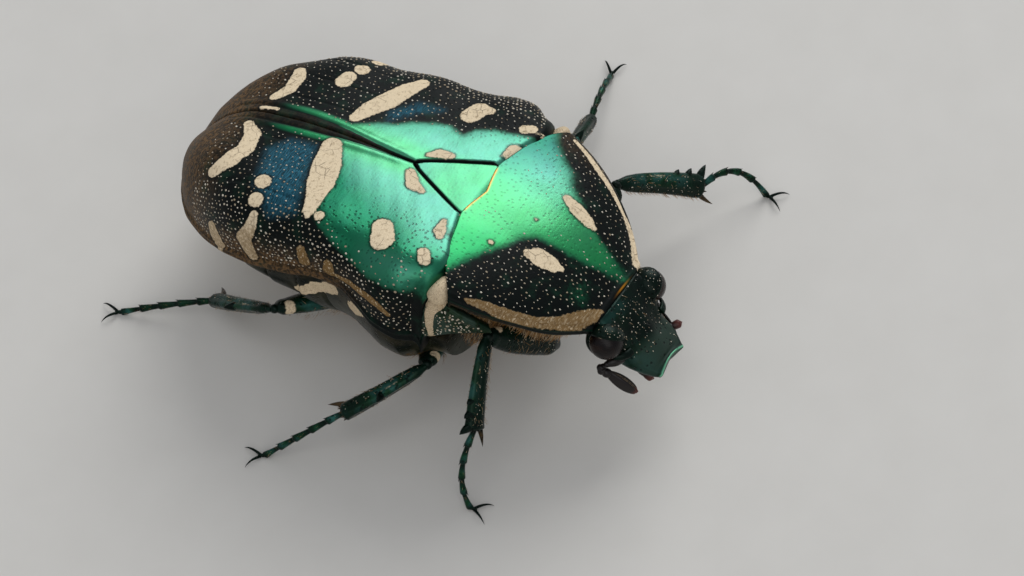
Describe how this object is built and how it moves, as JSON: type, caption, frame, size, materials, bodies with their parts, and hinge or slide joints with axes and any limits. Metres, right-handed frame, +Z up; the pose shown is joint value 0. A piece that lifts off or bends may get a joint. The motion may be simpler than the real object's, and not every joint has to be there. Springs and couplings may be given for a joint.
{
  "type": "protaetia philippensis flower beetle",
  "caption": "Life-size display model of a green flower beetle with cream-marked wing cases, standing as it walks.",
  "frame": {"origin": "centre of the bounding box in plan, at the level of the soles of the feet", "axes": "+Z up from the surface the beetle stands on; the head points to -Y and the beetle's left side to +X"},
  "size_m": [0.0252, 0.0235, 0.0091],
  "materials": {
    "emerald_shell": "silky metallic emerald green with cream markings",
    "dark_shell": "dark metallic green",
    "cream_felt": "matte cream",
    "eye": "glossy dark brown",
    "feeler": "satin dark brown"
  },
  "bodies": {
    "root": {"pronotum": "emerald_shell", "scutellum": "emerald_shell", "elytron_right": "emerald_shell", "elytron_left": "emerald_shell", "mesepimeron_right": "cream_felt", "mesepimeron_left": "cream_felt", "pygidium": "dark_shell", "abdomen": "dark_shell", "thorax": "dark_shell", "prosternum": "dark_shell", "head": "dark_shell", "eye_right": "eye", "eye_left": "eye", "antenna_right": "feeler", "antenna_left": "feeler", "palp_right": "feeler", "palp_left": "feeler", "femur_front_right": "dark_shell", "femur_front_left": "dark_shell", "femur_middle_right": "dark_shell", "femur_middle_left": "dark_shell", "femur_hind_right": "dark_shell", "femur_hind_left": "dark_shell", "tibia_front_right": "dark_shell", "tibia_front_left": "dark_shell", "tibia_middle_right": "dark_shell", "tibia_middle_left": "dark_shell", "tibia_hind_right": "dark_shell", "tibia_hind_left": "dark_shell", "tarsus_front_right": "dark_shell", "tarsus_front_left": "dark_shell", "tarsus_middle_right": "dark_shell", "tarsus_middle_left": "dark_shell", "tarsus_hind_right": "dark_shell", "tarsus_hind_left": "dark_shell"}
  },
  "joints": []
}
